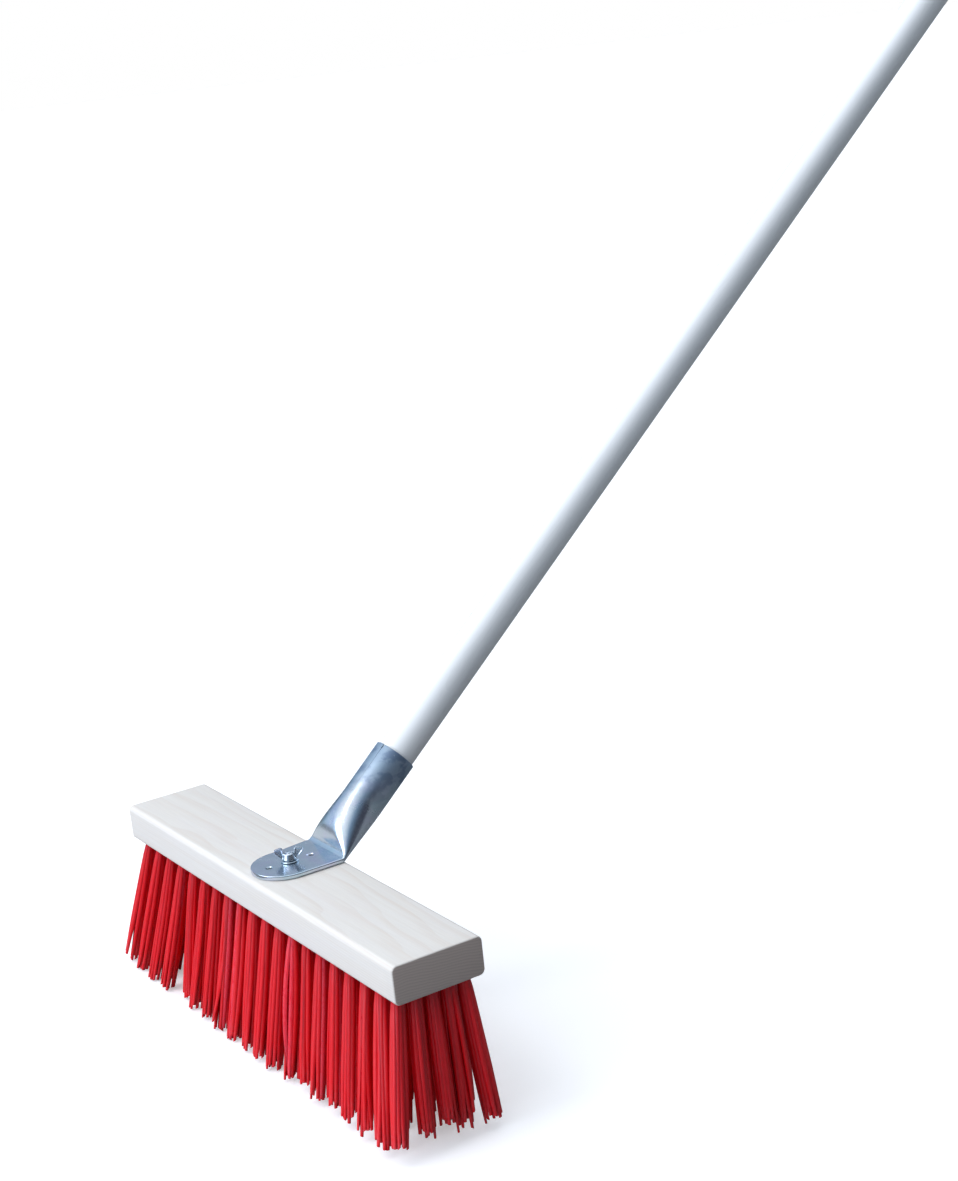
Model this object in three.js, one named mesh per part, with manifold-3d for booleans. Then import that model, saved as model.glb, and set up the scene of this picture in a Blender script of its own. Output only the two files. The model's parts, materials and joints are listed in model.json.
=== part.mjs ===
// A push broom: a wooden head with tufts of plastic bristle, a steel handle holder
// bolted to it with a wing nut, and a long round handle.
//
// Millimetres, +Z up. The origin is on the plane of the trimmed bristle tips, under the
// middle of the head. X runs along the head, and the handle leans back along +Y.

import * as THREE from 'three';
import { mergeVertices } from 'three/addons/utils/BufferGeometryUtils.js';
import Module from 'manifold-3d';

const wasm = await Module();
wasm.setup();

// ---------------------------------------------------------------- driving dimensions

const CLEARANCE = 0.3; // gap kept between neighbouring pieces
const CUT_MARGIN = 1; // how far a cutting solid runs past the surface that it cuts
const ROUND_SIDES = 24; // sides of the small turned pieces
const HOLE_SIDES = 20;

const HEAD_LENGTH = 400;
const HEAD_WIDTH = 67;
const HEAD_THICKNESS = 27;
const HEAD_EDGE_RADIUS = 4;
const HEAD_END_BEVEL = 1.2;

const BRISTLE_LENGTH = 106; // free length below the head
const TUFT_COLUMNS = 20;
const TUFT_ROWS = 5;
const TUFT_PITCH_X = 19.6;
const TUFT_PITCH_Y = 12;
const TUFT_ROOT_RADIUS = 4.2;
const TUFT_TIP_RADIUS = 6.5;
const TUFT_HOLE_RADIUS = 4.55;
const TUFT_HOLE_DEPTH = 16;
const TUFT_SIDES = 8;
const SPLAY_X = 1.09; // how much wider the tips stand than the roots, along the head
const SPLAY_Y = 1.45; // and across it
const TIP_LEAN_X = -4; // the bristles have also taken a set to one end
const TIP_LEAN_Y = -7; // and to the front
const FOOT_HEIGHT = 3; // depth over which the tips of one column touch
const FOOT_WIDTH = 86; // across the head

const HOLDER_OFFSET_X = 4.8; // the bolt stands a little off the middle of the head
const BOLT_RADIUS = 2.9;
const BOLT_HOLE_RADIUS = 3.4;
const BOLT_HEAD_RADIUS = 7.8;
const BOLT_HEAD_HEIGHT = 3.6;
const BOLT_NECK_SIDE = 6;
const BOLT_NECK_HEIGHT = 4;
const BOLT_STICK_OUT = 10.6; // above the top face of the head

const TUBE_RADIUS = 15.55;
const TUBE_WALL = 1.25;
const FLAT_WIDTH = 48.8; // width of the tube once it is pressed flat
const FLAT_THICKNESS = 3.2;
const TONGUE_TIP_Y = -28;
const BEND_Y = 29.9; // where the tube's axis meets the flat tongue
const TUBE_ANGLE = THREE.MathUtils.degToRad(40.9); // above the horizontal
const TUBE_LENGTH = 84; // from the bend to the rim
const BEND_RADIUS = 4;
const FLARE_START = 2; // along the axis from the bend: still flat
const FLARE_END = 42; // along the axis from the bend: fully round
const SPARE_HOLE_Y = 16.5; // two unused screw holes, before and behind the bolt
const SPARE_HOLE_RADIUS = 2.2;
const SEAM_ANGLE = THREE.MathUtils.degToRad(13); // from the tube's upper side towards +X
const SEAM_WIDTH = 0.7;
const SEAM_NOTCH_WIDTH = 3;
const SEAM_NOTCH_DEPTH = 7;
const SPARE_HOLE_SIDES = 12;
const SECTION_POINTS = 28; // corners of the tube's section

const WASHER_RADIUS = 6.2;
const WASHER_THICKNESS = 1;

const NUT_BASE_RADIUS = 5.6;
const NUT_TOP_RADIUS = 4.5;
const NUT_HEIGHT = 4.8;
const NUT_BORE_RADIUS = 3.25;
const WING_REACH = 11.6; // from the nut's axis to the end of a wing
const WING_TOP = 9; // above the nut's base
const WING_LOBE_RADIUS = 3.4;
const WING_THICKNESS = 2.2;
const WING_EDGE = 0.4; // bevel round a wing's outline
const NUT_TURN = THREE.MathUtils.degToRad(62); // heading of the wings, from +X

const HANDLE_RADIUS = 14;
const HANDLE_LENGTH = 1400;
const HANDLE_INSERTION = 41.5; // length held inside the tube
const HANDLE_SIDES = 48;

// ---------------------------------------------------------------- derived heights

const HEAD_BOTTOM_Z = BRISTLE_LENGTH;
const HEAD_TOP_Z = BRISTLE_LENGTH + HEAD_THICKNESS;
const TONGUE_BOTTOM_Z = HEAD_TOP_Z + CLEARANCE;
const TONGUE_TOP_Z = TONGUE_BOTTOM_Z + FLAT_THICKNESS;
const WASHER_Z = TONGUE_TOP_Z + CLEARANCE;
const NUT_Z = WASHER_Z + WASHER_THICKNESS + CLEARANCE;

// ---------------------------------------------------------------- materials

const beech = new THREE.MeshStandardMaterial({ color: 0xdcd3c8, roughness: 0.65, metalness: 0 });
const redPlastic = new THREE.MeshStandardMaterial({ color: 0xc0141c, roughness: 0.4, metalness: 0 });
const zincSteel = new THREE.MeshStandardMaterial({ color: 0xb4c0cc, roughness: 0.3, metalness: 1 });
const whiteLacquer = new THREE.MeshStandardMaterial({ color: 0xf2f3f2, roughness: 0.25, metalness: 0 });

// ---------------------------------------------------------------- solid helpers

function solidFrom(geometry) {
  const bare = geometry.clone();
  bare.deleteAttribute('normal');
  bare.deleteAttribute('uv');
  const merged = mergeVertices(bare, 1e-4);
  const vertProperties = new Float32Array(merged.attributes.position.array);
  const triVerts = new Uint32Array(merged.index.array);
  return new wasm.Manifold(new wasm.Mesh({ numProp: 3, vertProperties, triVerts }));
}

function geometryFrom(solid) {
  const mesh = solid.getMesh();
  const geometry = new THREE.BufferGeometry();
  geometry.setAttribute('position', new THREE.BufferAttribute(new Float32Array(mesh.vertProperties), 3));
  geometry.setIndex(new THREE.BufferAttribute(new Uint32Array(mesh.triVerts), 1));
  return geometry;
}

function join(geometries) {
  return geometries.map(solidFrom).reduce((sum, solid) => sum.add(solid));
}

// Skins a stack of rings, each an equal-length list of points, and closes both ends.
function loft(rings) {
  const count = rings[0].length;
  const points = rings.flat();
  const index = [];
  for (let ring = 0; ring < rings.length - 1; ring += 1) {
    for (let i = 0; i < count; i += 1) {
      const next = (i + 1) % count;
      const a = ring * count + i;
      const b = ring * count + next;
      const c = (ring + 1) * count + next;
      const d = (ring + 1) * count + i;
      index.push(a, b, c, a, c, d);
    }
  }
  const last = (rings.length - 1) * count;
  for (let i = 1; i < count - 1; i += 1) {
    index.push(0, i + 1, i);
    index.push(last, last + i, last + i + 1);
  }
  const geometry = new THREE.BufferGeometry().setFromPoints(points);
  geometry.setIndex(index);
  return geometry;
}

function uprightCylinder(radius, zLow, zHigh, sides) {
  const geometry = new THREE.CylinderGeometry(radius, radius, zHigh - zLow, sides);
  geometry.rotateX(Math.PI / 2);
  geometry.translate(0, 0, (zLow + zHigh) / 2);
  return geometry;
}

function uprightLathe(profile, sides) {
  const points = profile.map(([radius, z]) => new THREE.Vector2(radius, z));
  const geometry = new THREE.LatheGeometry(points, sides);
  geometry.rotateX(Math.PI / 2);
  return geometry;
}

function piece(name, geometry, material) {
  const mesh = new THREE.Mesh(geometry, material);
  mesh.name = name;
  return mesh;
}

// ---------------------------------------------------------------- tuft layout

// The bolt's head takes the place of one tuft, in the middle row of the column beside it.
const BOLT_COLUMN = TUFT_COLUMNS / 2;

function columnX(column) {
  return (column - (TUFT_COLUMNS - 1) / 2) * TUFT_PITCH_X;
}

function tipX(rootX) {
  return rootX * SPLAY_X + TIP_LEAN_X;
}

function tipY(rootY) {
  return rootY * SPLAY_Y + TIP_LEAN_Y;
}

function tuftRows(column) {
  const rows = [];
  for (let row = 0; row < TUFT_ROWS; row += 1) {
    const isMiddle = row === (TUFT_ROWS - 1) / 2;
    if (!(column === BOLT_COLUMN && isMiddle)) {
      rows.push((row - (TUFT_ROWS - 1) / 2) * TUFT_PITCH_Y);
    }
  }
  return rows;
}

// ---------------------------------------------------------------- head

function headBlock() {
  const halfWidth = HEAD_WIDTH / 2;
  const r = HEAD_EDGE_RADIUS;
  const section = new THREE.Shape();
  section.moveTo(-halfWidth + r, HEAD_BOTTOM_Z);
  section.lineTo(halfWidth - r, HEAD_BOTTOM_Z);
  section.absarc(halfWidth - r, HEAD_BOTTOM_Z + r, r, -Math.PI / 2, 0);
  section.absarc(halfWidth - r, HEAD_TOP_Z - r, r, 0, Math.PI / 2);
  section.absarc(-halfWidth + r, HEAD_TOP_Z - r, r, Math.PI / 2, Math.PI);
  section.absarc(-halfWidth + r, HEAD_BOTTOM_Z + r, r, Math.PI, 1.5 * Math.PI);
  const bar = new THREE.ExtrudeGeometry(section, {
    depth: HEAD_LENGTH - 2 * HEAD_END_BEVEL,
    curveSegments: 5,
    bevelThickness: HEAD_END_BEVEL,
    bevelSize: HEAD_END_BEVEL,
    bevelOffset: -HEAD_END_BEVEL,
    bevelSegments: 2,
  });
  const alongX = new THREE.Matrix4().makeBasis(
    new THREE.Vector3(0, 1, 0),
    new THREE.Vector3(0, 0, 1),
    new THREE.Vector3(1, 0, 0),
  );
  bar.applyMatrix4(alongX);
  bar.translate(-HEAD_LENGTH / 2 + HEAD_END_BEVEL, 0, 0);

  let solid = solidFrom(bar);
  const low = HEAD_BOTTOM_Z - CUT_MARGIN;
  for (let column = 0; column < TUFT_COLUMNS; column += 1) {
    for (const y of tuftRows(column)) {
      const hole = uprightCylinder(
        TUFT_HOLE_RADIUS, low, HEAD_BOTTOM_Z + TUFT_HOLE_DEPTH, TUFT_SIDES,
      );
      hole.translate(columnX(column), y, 0);
      solid = solid.subtract(solidFrom(hole));
    }
  }
  const boltHole = uprightCylinder(BOLT_HOLE_RADIUS, low, HEAD_TOP_Z + CUT_MARGIN, HOLE_SIDES);
  boltHole.translate(HOLDER_OFFSET_X, 0, 0);
  const pocketSide = BOLT_NECK_SIDE + 2 * CLEARANCE;
  const pocketHeight = BOLT_NECK_HEIGHT + CLEARANCE;
  const neckPocket = new THREE.BoxGeometry(pocketSide, pocketSide, 2 * pocketHeight);
  neckPocket.translate(HOLDER_OFFSET_X, 0, HEAD_BOTTOM_Z);
  solid = solid.subtract(solidFrom(boltHole)).subtract(solidFrom(neckPocket));
  return piece('head_block', geometryFrom(solid), beech);
}

// ---------------------------------------------------------------- bristle tufts

function tuft(rootX, rootY) {
  const ring = (x, y, z, radius) => {
    const points = [];
    for (let i = 0; i < TUFT_SIDES; i += 1) {
      const turn = (i / TUFT_SIDES) * 2 * Math.PI;
      points.push(new THREE.Vector3(x + radius * Math.sin(turn), y - radius * Math.cos(turn), z));
    }
    return points;
  };
  const tipZ = FOOT_HEIGHT / 2;
  return loft([
    ring(tipX(rootX), tipY(rootY), tipZ, TUFT_TIP_RADIUS),
    ring(rootX, rootY, HEAD_BOTTOM_Z, TUFT_ROOT_RADIUS),
    ring(rootX, rootY, HEAD_BOTTOM_Z + TUFT_HOLE_DEPTH - CLEARANCE, TUFT_ROOT_RADIUS),
  ]);
}

// The tufts of one column: separate at the head, touching each other at the trimmed tips.
function tuftColumn(column) {
  const x = columnX(column);
  const foot = new THREE.BoxGeometry(TUFT_PITCH_X * SPLAY_X - 2 * CLEARANCE, FOOT_WIDTH, FOOT_HEIGHT);
  foot.translate(tipX(x), TIP_LEAN_Y, FOOT_HEIGHT / 2);
  const tufts = tuftRows(column).map((y) => tuft(x, y));
  const name = `tuft_column_${String(column + 1).padStart(2, '0')}`;
  return piece(name, geometryFrom(join([foot, ...tufts])), redPlastic);
}

// ---------------------------------------------------------------- handle holder

// Stations along the holder's middle line: its point, direction and how round it is there.
function holderStations() {
  const midZ = (TONGUE_BOTTOM_Z + TONGUE_TOP_Z) / 2;
  const tangentLength = BEND_RADIUS * Math.tan(TUBE_ANGLE / 2);
  const stations = [];
  for (const y of [TONGUE_TIP_Y - CUT_MARGIN, BEND_Y - tangentLength]) {
    stations.push({ y, z: midZ, angle: 0, round: 0 });
  }
  const bendSteps = 4;
  for (let step = 1; step <= bendSteps; step += 1) {
    const angle = (TUBE_ANGLE * step) / bendSteps;
    stations.push({
      y: BEND_Y - tangentLength + BEND_RADIUS * Math.sin(angle),
      z: midZ + BEND_RADIUS * (1 - Math.cos(angle)),
      angle,
      round: 0,
    });
  }
  const along = (s, round) => ({
    y: BEND_Y + s * Math.cos(TUBE_ANGLE),
    z: midZ + s * Math.sin(TUBE_ANGLE),
    angle: TUBE_ANGLE,
    round,
  });
  const flareSteps = 8;
  for (let step = 1; step <= flareSteps; step += 1) {
    const t = step / flareSteps;
    const eased = THREE.MathUtils.lerp(t, THREE.MathUtils.smoothstep(t, 0, 1), 0.5);
    stations.push(along(THREE.MathUtils.lerp(FLARE_START, FLARE_END, t), eased));
  }
  stations.push(along(TUBE_LENGTH, 1));
  return stations;
}

// The tube's section there: two half circles and the straights between them, which shrink
// to nothing where the tube is round.
function holderRing(station, radius, halfWidth, halfThickness) {
  const bow = THREE.MathUtils.lerp(halfThickness, radius, station.round);
  const straight = (halfWidth - halfThickness) * (1 - station.round);
  const points = [];
  for (let i = 0; i < SECTION_POINTS; i += 1) {
    const turn = ((i + 0.5) / SECTION_POINTS) * 2 * Math.PI;
    const side = Math.sin(turn) > 0 ? 1 : -1;
    const x = side * straight + bow * Math.sin(turn);
    const up = bow * Math.cos(turn);
    points.push(new THREE.Vector3(
      x,
      station.y - up * Math.sin(station.angle),
      station.z + up * Math.cos(station.angle),
    ));
  }
  return points;
}

// Turns and lifts a geometry from its own frame into the round tube's: +Z along the tube's
// axis, measured from the bend, and +Y towards the tube's upper side.
function alongTube(geometry) {
  const axis = new THREE.Vector3(0, Math.cos(TUBE_ANGLE), Math.sin(TUBE_ANGLE));
  const upper = new THREE.Vector3(0, -Math.sin(TUBE_ANGLE), Math.cos(TUBE_ANGLE));
  const side = new THREE.Vector3().crossVectors(upper, axis);
  geometry.applyMatrix4(new THREE.Matrix4().makeBasis(side, upper, axis));
  geometry.translate(0, BEND_Y, (TONGUE_BOTTOM_Z + TONGUE_TOP_Z) / 2);
  return geometry;
}

function seamCutter() {
  const slit = new THREE.BoxGeometry(SEAM_WIDTH, TUBE_RADIUS, TUBE_LENGTH - FLARE_END);
  slit.translate(0, TUBE_RADIUS, (TUBE_LENGTH + FLARE_END) / 2 + CUT_MARGIN);
  const notch = new THREE.Shape();
  notch.moveTo(0, TUBE_LENGTH - SEAM_NOTCH_DEPTH);
  notch.lineTo(SEAM_NOTCH_WIDTH / 2, TUBE_LENGTH + CUT_MARGIN);
  notch.lineTo(-SEAM_NOTCH_WIDTH / 2, TUBE_LENGTH + CUT_MARGIN);
  const wedge = new THREE.ExtrudeGeometry(notch, { depth: TUBE_RADIUS, bevelEnabled: false });
  wedge.rotateX(Math.PI / 2);
  wedge.translate(0, 1.5 * TUBE_RADIUS, 0);
  return [slit, wedge].map((geometry) => {
    geometry.rotateZ(SEAM_ANGLE);
    return solidFrom(alongTube(geometry));
  });
}

// The holder's outline seen from above: a half round at the tongue's tip, and a width that
// clears the tube everywhere else.
function planCutter() {
  const halfWidth = FLAT_WIDTH / 2;
  const wide = halfWidth + CUT_MARGIN;
  const reach = 2 * TUBE_LENGTH;
  const roundEndY = TONGUE_TIP_Y + halfWidth;
  const outline = new THREE.Shape();
  outline.moveTo(wide, reach);
  outline.lineTo(-wide, reach);
  outline.lineTo(-wide, roundEndY);
  outline.lineTo(-halfWidth, roundEndY);
  outline.absarc(0, roundEndY, halfWidth, Math.PI, 2 * Math.PI);
  outline.lineTo(wide, roundEndY);
  const plan = new THREE.ExtrudeGeometry(outline, {
    depth: reach,
    curveSegments: ROUND_SIDES,
    bevelEnabled: false,
  });
  plan.translate(0, 0, HEAD_TOP_Z - HEAD_THICKNESS);
  return plan;
}

function handleHolder() {
  const stations = holderStations();
  const outer = loft(stations.map((station) => (
    holderRing(station, TUBE_RADIUS, FLAT_WIDTH / 2, FLAT_THICKNESS / 2)
  )));
  const hollow = stations.filter((station) => station.round > 0);
  const rim = hollow[hollow.length - 1];
  const beyondRim = {
    ...rim,
    y: rim.y + CUT_MARGIN * Math.cos(TUBE_ANGLE),
    z: rim.z + CUT_MARGIN * Math.sin(TUBE_ANGLE),
  };
  const inner = loft([...hollow, beyondRim].map((station) => (
    holderRing(station, TUBE_RADIUS - TUBE_WALL, FLAT_WIDTH / 2 - TUBE_WALL, CLEARANCE / 2)
  )));

  let solid = solidFrom(outer).subtract(solidFrom(inner)).intersect(solidFrom(planCutter()));
  const low = TONGUE_BOTTOM_Z - CUT_MARGIN;
  const high = TONGUE_TOP_Z + CUT_MARGIN;
  solid = solid.subtract(solidFrom(uprightCylinder(BOLT_HOLE_RADIUS, low, high, HOLE_SIDES)));
  for (const y of [-SPARE_HOLE_Y, SPARE_HOLE_Y]) {
    const hole = uprightCylinder(SPARE_HOLE_RADIUS, low, high, SPARE_HOLE_SIDES);
    hole.translate(0, y, 0);
    solid = solid.subtract(solidFrom(hole));
  }
  for (const cutter of seamCutter()) {
    solid = solid.subtract(cutter);
  }
  return piece('handle_holder', geometryFrom(solid), zincSteel);
}

// ---------------------------------------------------------------- fastening

function carriageBolt() {
  const headTop = HEAD_BOTTOM_Z - CLEARANCE;
  const rimHeight = 0.8;
  const profile = [[0, headTop - BOLT_HEAD_HEIGHT]];
  const domeSteps = 5;
  for (let step = 1; step <= domeSteps; step += 1) {
    const turn = (step / domeSteps) * (Math.PI / 2);
    const drop = (BOLT_HEAD_HEIGHT - rimHeight) * Math.cos(turn);
    profile.push([BOLT_HEAD_RADIUS * Math.sin(turn), headTop - rimHeight - drop]);
  }
  profile.push([BOLT_HEAD_RADIUS, headTop], [0, headTop]);
  const dome = uprightLathe(profile, ROUND_SIDES);
  const neckHeight = BOLT_NECK_HEIGHT + CUT_MARGIN;
  const neck = new THREE.BoxGeometry(BOLT_NECK_SIDE, BOLT_NECK_SIDE, neckHeight);
  neck.translate(0, 0, HEAD_BOTTOM_Z + BOLT_NECK_HEIGHT - neckHeight / 2);
  const top = HEAD_TOP_Z + BOLT_STICK_OUT;
  const pointHeight = 0.8;
  const shank = uprightLathe([
    [0, HEAD_BOTTOM_Z],
    [BOLT_RADIUS, HEAD_BOTTOM_Z],
    [BOLT_RADIUS, top - pointHeight],
    [BOLT_RADIUS - pointHeight, top],
    [0, top],
  ], HOLE_SIDES);
  return piece('carriage_bolt', geometryFrom(join([dome, neck, shank])), zincSteel);
}

function washer() {
  const bore = BOLT_HOLE_RADIUS;
  const ring = uprightLathe([
    [bore, WASHER_Z],
    [WASHER_RADIUS, WASHER_Z],
    [WASHER_RADIUS, WASHER_Z + WASHER_THICKNESS],
    [bore, WASHER_Z + WASHER_THICKNESS],
    [bore, WASHER_Z],
  ], ROUND_SIDES);
  return piece('washer', ring, zincSteel);
}

// One wing, standing in the XZ plane on the +X side of the nut's axis.
function nutWing() {
  const lobeX = WING_REACH - WING_LOBE_RADIUS;
  const lobeZ = WING_TOP - WING_LOBE_RADIUS;
  const rootX = NUT_BORE_RADIUS + WING_EDGE;
  const lobeStart = THREE.MathUtils.degToRad(-72);
  const lobeEnd = THREE.MathUtils.degToRad(144);
  const outline = new THREE.Shape();
  outline.moveTo(rootX, WING_EDGE);
  outline.lineTo(NUT_BASE_RADIUS, WING_EDGE);
  outline.absarc(lobeX, lobeZ, WING_LOBE_RADIUS, lobeStart, lobeEnd);
  outline.lineTo(rootX, NUT_HEIGHT - WING_EDGE);
  const wing = new THREE.ExtrudeGeometry(outline, {
    depth: WING_THICKNESS - 2 * WING_EDGE,
    curveSegments: 7,
    bevelThickness: WING_EDGE,
    bevelSize: WING_EDGE,
    bevelOffset: -WING_EDGE,
    bevelSegments: 1,
  });
  wing.translate(0, 0, WING_EDGE - WING_THICKNESS / 2);
  wing.rotateX(Math.PI / 2);
  return wing;
}

function wingNut() {
  const hub = uprightLathe([
    [NUT_BORE_RADIUS, 0],
    [NUT_BASE_RADIUS, 0],
    [NUT_TOP_RADIUS, NUT_HEIGHT],
    [NUT_BORE_RADIUS, NUT_HEIGHT],
    [NUT_BORE_RADIUS, 0],
  ], ROUND_SIDES);
  const right = nutWing();
  const left = nutWing();
  left.rotateZ(Math.PI);
  return piece('wing_nut', geometryFrom(join([hub, right, left])), zincSteel);
}

// ---------------------------------------------------------------- handle

function handle() {
  const low = TUBE_LENGTH - HANDLE_INSERTION;
  const high = low + HANDLE_LENGTH;
  const chamfer = 1.5;
  const domeHeight = 8;
  const profile = [[0, low], [HANDLE_RADIUS - chamfer, low], [HANDLE_RADIUS, low + chamfer]];
  const domeSteps = 6;
  for (let step = 0; step < domeSteps; step += 1) {
    const turn = (step / domeSteps) * (Math.PI / 2);
    profile.push([HANDLE_RADIUS * Math.cos(turn), high - domeHeight + domeHeight * Math.sin(turn)]);
  }
  profile.push([0, high]);
  return piece('handle', alongTube(uprightLathe(profile, HANDLE_SIDES)), whiteLacquer);
}

// ---------------------------------------------------------------- assembly

const broom = new THREE.Group();
broom.add(headBlock());
for (let column = 0; column < TUFT_COLUMNS; column += 1) {
  broom.add(tuftColumn(column));
}

const holderGroup = new THREE.Group();
holderGroup.position.x = HOLDER_OFFSET_X;
const nut = wingNut();
nut.position.z = NUT_Z;
nut.rotation.z = NUT_TURN;
holderGroup.add(carriageBolt(), handleHolder(), washer(), nut, handle());
broom.add(holderGroup);

export default broom;
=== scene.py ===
import json
import math

import bmesh
import bpy
import numpy as np
from mathutils import Matrix, Vector


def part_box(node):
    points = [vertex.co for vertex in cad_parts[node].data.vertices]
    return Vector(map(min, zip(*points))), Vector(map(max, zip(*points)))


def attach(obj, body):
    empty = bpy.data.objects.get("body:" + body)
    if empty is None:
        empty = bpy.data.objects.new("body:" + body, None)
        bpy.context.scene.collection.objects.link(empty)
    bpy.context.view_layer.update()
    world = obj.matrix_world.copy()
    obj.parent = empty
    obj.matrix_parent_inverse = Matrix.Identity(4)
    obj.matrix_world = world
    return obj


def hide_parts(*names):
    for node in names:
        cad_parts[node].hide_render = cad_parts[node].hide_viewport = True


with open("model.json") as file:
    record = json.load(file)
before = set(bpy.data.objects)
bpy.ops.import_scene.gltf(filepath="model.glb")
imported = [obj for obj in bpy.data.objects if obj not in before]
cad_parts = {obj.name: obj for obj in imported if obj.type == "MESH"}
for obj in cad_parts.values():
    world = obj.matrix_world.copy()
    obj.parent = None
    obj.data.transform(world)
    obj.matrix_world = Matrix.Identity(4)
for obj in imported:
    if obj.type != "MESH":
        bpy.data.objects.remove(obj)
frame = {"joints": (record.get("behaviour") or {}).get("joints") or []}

# A push broom: a pale wooden head, tufts of red plastic bristle, a zinc-plated handle
# holder held by a carriage bolt and a wing nut, and a white lacquered handle.
# Metres, +Z up. X runs along the head and the handle leans back along +Y.

MM = 0.001
FULL_TURN = 2 * math.pi
QUARTER_TURN = math.pi / 2
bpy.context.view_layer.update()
rng = np.random.default_rng(20)

# ------------------------------------------------------------------ places, from the frame

head_low, head_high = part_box("head_block")
bolt_low, bolt_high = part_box("carriage_bolt")
holder_low, holder_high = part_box("handle_holder")
washer_low, washer_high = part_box("washer")
nut_low, nut_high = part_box("wing_nut")
handle_low, handle_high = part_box("handle")
joints = {joint["name"]: joint for joint in frame["joints"]}

HOLDER_X = (holder_low.x + holder_high.x) / 2
AXIS = Vector(joints["handle_pull"]["axis"]).normalized()
UPPER = Vector((0, -AXIS.z, AXIS.y))  # square to the tube's axis, towards its upper side
TUBE_ANGLE = math.atan2(AXIS.z, AXIS.y)

# ------------------------------------------------------------------ sizes

HEAD_EDGE_RADIUS = 4 * MM
HEAD_END_BEVEL = 1.2 * MM

TUFT_COLUMNS = 20
TUFT_ROWS = 5
TUFT_PITCH_X = 19.6 * MM
TUFT_PITCH_Y = 12 * MM
TUFT_HOLE_RADIUS = 4.55 * MM
TUFT_HOLE_DEPTH = 16 * MM
BOLT_COLUMN = TUFT_COLUMNS // 2  # the bolt's head takes the place of its middle tuft

BOLT_RADIUS = 2.6 * MM
BOLT_HOLE_RADIUS = 3.4 * MM
BOLT_HEAD_HEIGHT = 3.6 * MM
BOLT_HEAD_RIM = 0.8 * MM
BOLT_HEAD_GAP = 0.3 * MM  # between the bolt's head and the block
BOLT_NECK_HALF = 3 * MM
BOLT_NECK_HEIGHT = 4 * MM
NECK_POCKET_GAP = 0.3 * MM
THREAD_PITCH = 1 * MM
THREAD_DEPTH = 0.45 * MM
THREAD_START = 8 * MM  # above the underside of the block

TUBE_RADIUS = 15.55 * MM
TUBE_WALL = 1.25 * MM
FLAT_THICKNESS = 3.2 * MM
BEND_RADIUS = 4 * MM
FLARE_START = 2 * MM
FLARE_END = 42 * MM
SPARE_HOLE_Y = 16.5 * MM
SPARE_HOLE_RADIUS = 2.2 * MM
SEAM_ANGLE = math.radians(13)
BEND_BULGE = 0.125  # how much wider the holder's far side is at the bend
BEND_BULGE_REACH = 26 * MM

HANDLE_RADIUS = (handle_high.x - handle_low.x) / 2
HANDLE_INSERTION = 41.5 * MM
HANDLE_LENGTH = 1400 * MM
HANDLE_CHAMFER = 1.5 * MM
HANDLE_DOME = 8 * MM

CUT_MARGIN = 1 * MM  # how far a cutting solid runs past the surface that it cuts

# The tube's rim is the holder's highest point and its lower side the furthest back, which
# gives the tube's length from the bend and the place of the bend.
FLAT_TOP_Z = holder_low.z + FLAT_THICKNESS
FLAT_MID_Z = holder_low.z + FLAT_THICKNESS / 2
FLAT_HALF_WIDTH = (holder_high.x - holder_low.x) / 2
TUBE_RISE = holder_high.z - FLAT_MID_Z - TUBE_RADIUS * math.cos(TUBE_ANGLE)
TUBE_LENGTH = TUBE_RISE / math.sin(TUBE_ANGLE)
BEND_Y = holder_high.y - TUBE_LENGTH * math.cos(TUBE_ANGLE) - TUBE_RADIUS * math.sin(TUBE_ANGLE)
BEND_POINT = Vector((HOLDER_X, BEND_Y, FLAT_MID_Z))


# ------------------------------------------------------------------ mesh helpers

def mesh_object(name, points, faces, sharp_angle=35):
    mesh = bpy.data.meshes.new(name)
    mesh.from_pydata([tuple(p) for p in points], [], [tuple(f) for f in faces])
    mesh.validate()
    grid = bmesh.new()
    grid.from_mesh(mesh)
    bmesh.ops.recalc_face_normals(grid, faces=grid.faces)
    grid.to_mesh(mesh)
    grid.free()
    obj = bpy.data.objects.new(name, mesh)
    bpy.context.scene.collection.objects.link(obj)
    shade(obj, sharp_angle)
    return obj


def shade(obj, sharp_angle):
    """Smooth shading, with edges sharper than the angle in degrees kept sharp."""
    obj.data.polygons.foreach_set("use_smooth", [True] * len(obj.data.polygons))
    obj.data.set_sharp_from_angle(angle=math.radians(sharp_angle))
    obj.data.update()


def loft(rings, closed=True):
    """Points and faces of a skin over equal-length rings, with both ends closed if asked."""
    count = len(rings[0])
    points = [p for ring in rings for p in ring]
    faces = []
    for first in range(0, (len(rings) - 1) * count, count):
        for i in range(count):
            j = (i + 1) % count
            faces.append((first + i, first + j, first + count + j, first + count + i))
    if closed:
        last = (len(rings) - 1) * count
        faces.append(tuple(range(count - 1, -1, -1)))
        faces.append(tuple(range(last, last + count)))
    return points, faces


def merged(skins):
    """Points and faces of several skins as one."""
    points, faces = [], []
    for skin_points, skin_faces in skins:
        start = len(points)
        points += skin_points
        faces += [tuple(i + start for i in face) for face in skin_faces]
    return points, faces


def circle(radius, z, sides, centre=(0, 0)):
    angles = [FULL_TURN * i / sides for i in range(sides)]
    return [Vector((centre[0] + radius * math.cos(a), centre[1] + radius * math.sin(a), z))
            for a in angles]


def lathe(profile, sides, centre=(0, 0)):
    """Skins a profile of (radius, z) turned round an upright axis. Both ends are closed."""
    return loft([circle(radius, z, sides, centre) for radius, z in profile])


def square_rod(name, sections):
    """A square rod on the bolt's axis, through sections of (half its side, z)."""
    corners = ((-1, -1), (1, -1), (1, 1), (-1, 1))
    return mesh_object(name, *loft([
        [Vector((HOLDER_X + half * side_x, half * side_y, z)) for side_x, side_y in corners]
        for half, z in sections]))


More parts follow.
